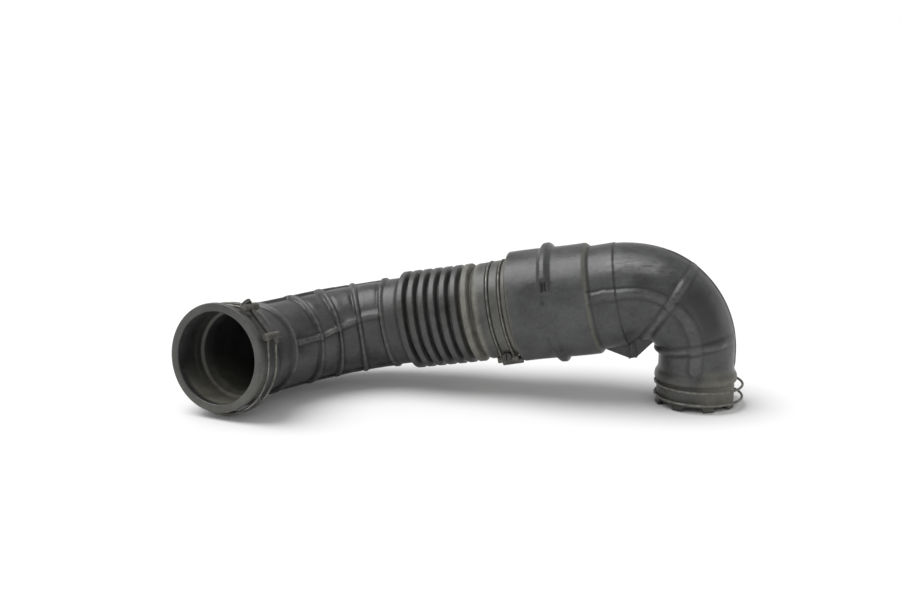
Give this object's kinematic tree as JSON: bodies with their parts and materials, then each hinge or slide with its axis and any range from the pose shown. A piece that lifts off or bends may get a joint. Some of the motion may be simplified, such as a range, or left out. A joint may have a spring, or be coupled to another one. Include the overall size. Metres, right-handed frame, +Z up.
{
  "type": "air intake duct",
  "caption": "Moulded rubber intake duct: a bellows hose with a ribbed bend and open mouth clamped to a tapered elbow, with wire screw clamps at its joint and both ends.",
  "frame": {"origin": "centre of the outlet bore, in the plane of its rim lugs, which stand on the floor", "axes": "+Z up out of the floor, +X along the duct away from the mouth, the mouth opens towards -Y"},
  "size_m": [0.4362, 0.1549, 0.125],
  "materials": {
    "hose_rubber": "satin, dusty in the folds",
    "duct_rubber": "satin moulded skin with scuffs",
    "clamp_wire": "dull, dirty",
    "clamp_fitting": "dull zinc plate",
    "clamp_screw": "dark, oily"
  },
  "bodies": {
    "root": {"bellows_hose": "hose_rubber", "elbow_duct": "duct_rubber", "joint_clamp_wires": "clamp_wire", "joint_clamp_screw": "clamp_screw", "joint_clamp_barrel": "clamp_fitting", "joint_clamp_nut": "clamp_fitting", "mouth_clamp_wires": "clamp_wire", "mouth_clamp_screw": "clamp_screw", "mouth_clamp_barrel": "clamp_fitting", "mouth_clamp_nut": "clamp_fitting", "outlet_clamp_wires": "clamp_wire", "outlet_clamp_screw": "clamp_screw", "outlet_clamp_barrel": "clamp_fitting", "outlet_clamp_nut": "clamp_fitting"}
  },
  "joints": []
}
